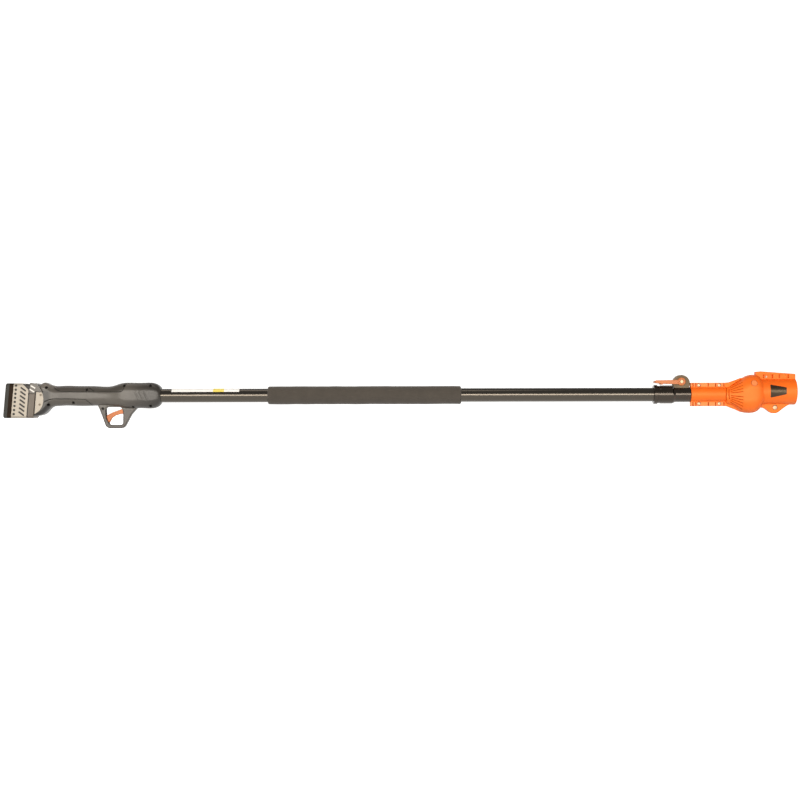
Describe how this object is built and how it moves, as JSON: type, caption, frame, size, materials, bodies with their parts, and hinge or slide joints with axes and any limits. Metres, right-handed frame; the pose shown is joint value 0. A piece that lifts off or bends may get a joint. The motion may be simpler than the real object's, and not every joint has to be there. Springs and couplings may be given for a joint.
{
  "type": "telescoping power pole",
  "caption": "Battery-powered telescoping pole with a trigger handle, a foam grip, a cam-lever clamp and an empty clamshell socket for a pruning saw or other garden tool.",
  "frame": {"origin": "centre of the tool socket's mouth", "axes": "+X along the pole and out of the tool socket, +Z towards the clamp lever, away from the trigger"},
  "size_m": [1.8134, 0.0688, 0.1271],
  "materials": {
    "handle_plastic": "moulded, fine spark texture",
    "orange_plastic": "moulded, satin gloss",
    "black_plastic": "moulded, satin",
    "case_plastic": "moulded, satin",
    "latch_plastic": "moulded, satin",
    "bush_plastic": "natural acetal",
    "badge_plastic": "bare, gloss",
    "foam": "closed-cell foam, matt",
    "tube": "anodised",
    "silver": "silver paint",
    "steel": "zinc plated",
    "contact": "bright",
    "board": "solder mask",
    "cable": "matt",
    "cell": "sleeved cell, its mean density"
  },
  "bodies": {
    "handle_and_pole": {"handle_shell_right": "handle_plastic", "handle_shell_left": "handle_plastic", "handle_screws": "steel", "foot_plate_right": "silver", "foot_plate_left": "silver", "foot_plate_screws": "steel", "contact_block": "black_plastic", "contact_blades": "contact", "battery_leads": "cable", "control_board": "board", "trigger_switch": "black_plastic", "trigger_pin": "steel", "trigger_spring": "steel", "pole_bush": "bush_plastic", "outer_tube": "tube", "tube_plug": "bush_plastic", "board_lead": "cable", "coil_cable": "cable", "foam_grip": "foam", "clamp_collar": "black_plastic", "collar_bush": "bush_plastic", "thrust_washers": "bush_plastic", "lever_pin": "steel", "lever_nut": "steel"},
    "inner_pole": {"inner_tube": "tube", "tail_bush": "bush_plastic", "inner_lead": "cable", "head_shell_right": "orange_plastic", "head_shell_left": "orange_plastic", "sleeve_screws": "steel", "rail_screw": "steel", "lug_bolt": "steel", "lug_nut": "steel", "badge_right": "badge_plastic", "badge_left": "badge_plastic", "head_plug_right": "orange_plastic", "head_plug_left": "orange_plastic", "tool_connector": "black_plastic"},
    "trigger": {"trigger": "orange_plastic"},
    "switch_plunger": {"switch_plunger": "latch_plastic"},
    "clamp_lever": {"cam_lever": "orange_plastic"},
    "battery": {"battery_case": "case_plastic", "vent_band": "silver", "battery_end_cap": "black_plastic", "battery_cells": "cell", "battery_plug": "black_plastic", "battery_terminals": "contact", "latch_spring_right": "steel", "latch_spring_left": "steel"},
    "latch_right": {"latch_button_right": "latch_plastic"},
    "latch_left": {"latch_button_left": "latch_plastic"}
  },
  "joints": [
    {"name": "pole_slide", "type": "slide", "parent": "handle_and_pole", "child": "inner_pole", "axis": [1, 0, 0], "range_m": [0, 0.7], "deforming": ["coil_cable"]},
    {"name": "trigger_pull", "type": "hinge", "parent": "handle_and_pole", "child": "trigger", "pos_m": [-1.532, 0, -0.04], "axis": [0, 1, 0], "range_deg": [0, 12], "stiffness_Nm_per_rad": 0.8, "springref_deg": -5.73},
    {"name": "switch_press", "type": "slide", "parent": "handle_and_pole", "child": "switch_plunger", "axis": [1, 0, 0], "range_m": [0, 0.0036]},
    {"name": "lever_swing", "type": "hinge", "parent": "handle_and_pole", "child": "clamp_lever", "pos_m": [-0.2623, 0, 0.0236], "axis": [0, 1, 0], "range_deg": [0, 110]},
    {"name": "battery_slide", "type": "slide", "parent": "handle_and_pole", "child": "battery", "axis": [-0.9962, 0, 0.0872], "range_m": [0, 0.04]},
    {"name": "latch_press_right", "type": "slide", "parent": "battery", "child": "latch_right", "axis": [0, 1, 0], "range_m": [0, 0.003], "stiffness_N_per_m": 800, "springref_m": -0.002, "deforming": ["latch_spring_right"]},
    {"name": "latch_press_left", "type": "slide", "parent": "battery", "child": "latch_left", "axis": [0, -1, 0], "range_m": [0, 0.003], "stiffness_N_per_m": 800, "springref_m": -0.002, "deforming": ["latch_spring_left"]}
  ],
  "couplings": [
    {"joint": "switch_press", "follows": "trigger_pull", "m_per_rad": 0.0165}
  ]
}
